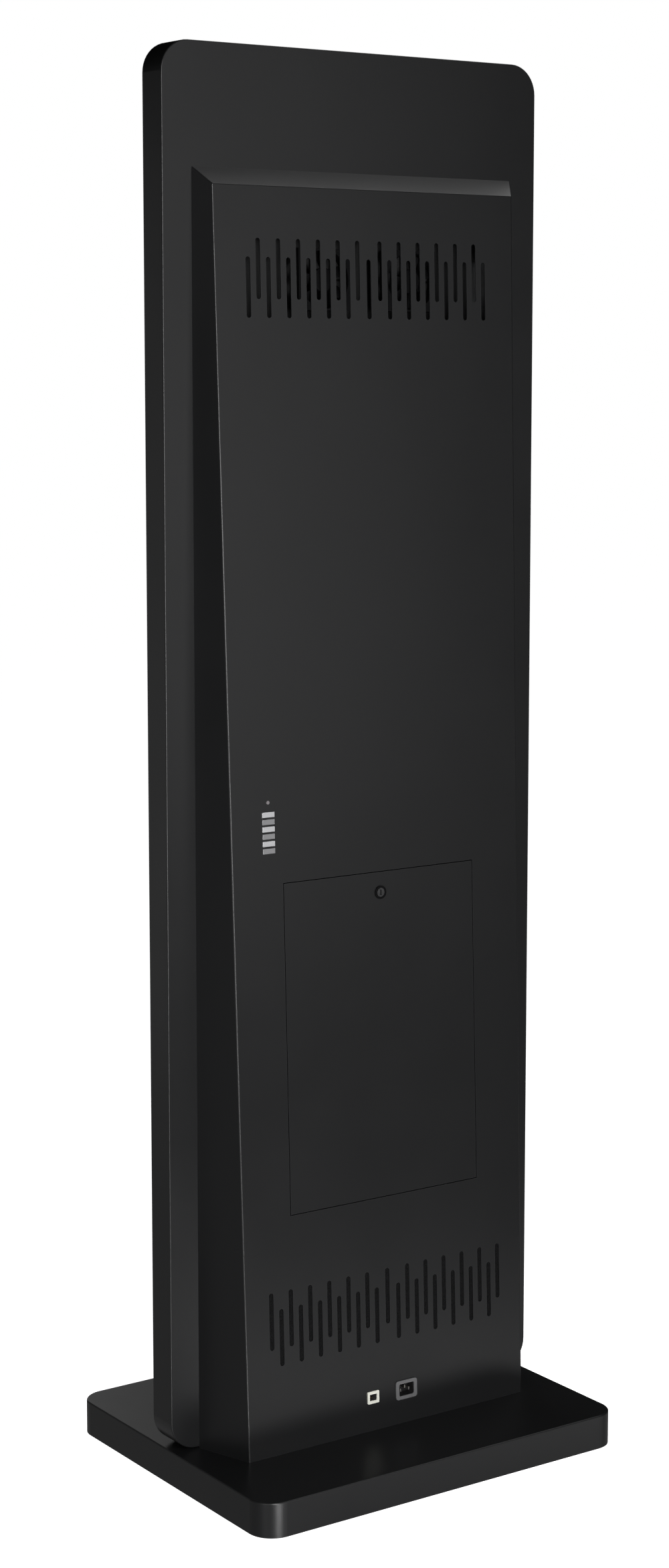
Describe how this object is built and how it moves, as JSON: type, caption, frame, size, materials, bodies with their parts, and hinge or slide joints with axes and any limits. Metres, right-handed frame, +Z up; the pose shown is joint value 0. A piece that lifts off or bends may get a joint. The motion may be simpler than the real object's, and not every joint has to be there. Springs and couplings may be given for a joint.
{
  "type": "touchscreen kiosk",
  "caption": "Free-standing upright touchscreen kiosk: slab display on a low base, with a vented rear housing, a lockable service door, control keys and mains and network sockets.",
  "frame": {"origin": "on the floor, under the middle of the base", "axes": "+Z up, the screen faces -Y, the rear housing +Y, +X to the kiosk's left-hand side as seen from behind"},
  "size_m": [0.6, 0.48, 1.9],
  "materials": {
    "painted_steel": "satin black powder coat",
    "bare_steel": "plain zinc-coated sheet",
    "mill_aluminium": "mill finish",
    "clear_acrylic": "moulded, dotted back",
    "zinc_screws": "bright zinc",
    "foot_rubber": "matt",
    "screen_glass": "polished, black printed border",
    "black_film": "smooth",
    "circuit_board": "green solder mask",
    "filter_foam": "open-cell foam",
    "lock_black": "semi-gloss black",
    "lock_chrome": "worn satin",
    "key_silver": "satin silver",
    "lens": "smoked lens",
    "inlet_plastic": "light grey rim",
    "jack_plastic": "off-white",
    "contact_brass": "gilt",
    "player_aluminium": "black anodised",
    "black_plastic": "moulded"
  },
  "bodies": {
    "cabinet": {"backlight_unit": "bare_steel", "base_cover": "painted_steel", "base_feet": "foot_rubber", "base_plate": "bare_steel", "board_posts": "zinc_screws", "board_spacers": "zinc_screws", "cover_glass": "screen_glass", "cover_posts": "zinc_screws", "display_tray": "painted_steel", "driver_board": "circuit_board", "electronics_plate": "bare_steel", "fan_frames": "black_plastic", "foot_screws": "zinc_screws", "glass_frame": "mill_aluminium", "glass_tape": "black_film", "hinge_brackets": "bare_steel", "hinge_pins": "zinc_screws", "housing_screws": "zinc_screws", "indicator_lens": "lens", "inlet_blades": "zinc_screws", "intake_filter": "filter_foam", "jack_contacts": "contact_brass", "key_board": "circuit_board", "lcd_cell": "black_film", "light_guide": "clear_acrylic", "lock_strike": "bare_steel", "media_player": "player_aluminium", "network_jack": "jack_plastic", "panel_rails": "bare_steel", "post_screws": "zinc_screws", "power_inlet": "inlet_plastic", "power_supply": "mill_aluminium", "rail_screws": "zinc_screws", "rear_housing": "painted_steel", "speaker_boxes": "black_plastic", "speaker_cones": "black_plastic", "spine_bolts": "zinc_screws", "spine_left": "bare_steel", "spine_right": "bare_steel", "timing_board": "circuit_board", "touch_film": "black_film", "tray_screws": "zinc_screws"},
    "door": {"service_door": "painted_steel", "hinge_arms": "bare_steel", "lock_barrel": "lock_black", "lock_nut": "zinc_screws"},
    "lock": {"lock_plug": "lock_chrome", "lock_cam": "zinc_screws", "cam_screw": "zinc_screws"},
    "key_cap_1": {"key_1": "key_silver"},
    "key_cap_2": {"key_2": "key_silver"},
    "key_cap_3": {"key_3": "key_silver"},
    "key_cap_4": {"key_4": "key_silver"},
    "key_cap_5": {"key_5": "key_silver"},
    "key_cap_6": {"key_6": "key_silver"},
    "fan_left": {"fan_rotor_left": "black_plastic"},
    "fan_right": {"fan_rotor_right": "black_plastic"}
  },
  "joints": [
    {"name": "door_hinge", "type": "hinge", "parent": "cabinet", "child": "door", "pos_m": [0, 0.08602, 0.35954], "axis": [-1, 0, 0], "range_deg": [0, 95]},
    {"name": "lock_turn", "type": "hinge", "parent": "door", "child": "lock", "pos_m": [0, 0.07912, 0.78905], "axis": [0, -0.9994, -0.0347], "range_deg": [0, 90]},
    {"name": "key_1_press", "type": "slide", "parent": "cabinet", "child": "key_cap_1", "axis": [0, -0.9994, -0.0347], "range_m": [0, 0.0008], "stiffness_N_per_m": 1500, "springref_m": -0.0004},
    {"name": "key_2_press", "type": "slide", "parent": "cabinet", "child": "key_cap_2", "axis": [0, -0.9994, -0.0347], "range_m": [0, 0.0008], "stiffness_N_per_m": 1500, "springref_m": -0.0004},
    {"name": "key_3_press", "type": "slide", "parent": "cabinet", "child": "key_cap_3", "axis": [0, -0.9994, -0.0347], "range_m": [0, 0.0008], "stiffness_N_per_m": 1500, "springref_m": -0.0004},
    {"name": "key_4_press", "type": "slide", "parent": "cabinet", "child": "key_cap_4", "axis": [0, -0.9994, -0.0347], "range_m": [0, 0.0008], "stiffness_N_per_m": 1500, "springref_m": -0.0004},
    {"name": "key_5_press", "type": "slide", "parent": "cabinet", "child": "key_cap_5", "axis": [0, -0.9994, -0.0347], "range_m": [0, 0.0008], "stiffness_N_per_m": 1500, "springref_m": -0.0004},
    {"name": "key_6_press", "type": "slide", "parent": "cabinet", "child": "key_cap_6", "axis": [0, -0.9994, -0.0347], "range_m": [0, 0.0008], "stiffness_N_per_m": 1500, "springref_m": -0.0004},
    {"name": "fan_left_spin", "type": "hinge", "parent": "cabinet", "child": "fan_left", "pos_m": [0.07, 0.04187, 1.60325], "axis": [0, 0.9994, 0.0347], "continuous": true},
    {"name": "fan_right_spin", "type": "hinge", "parent": "cabinet", "child": "fan_right", "pos_m": [-0.07, 0.04187, 1.60325], "axis": [0, 0.9994, 0.0347], "continuous": true}
  ]
}
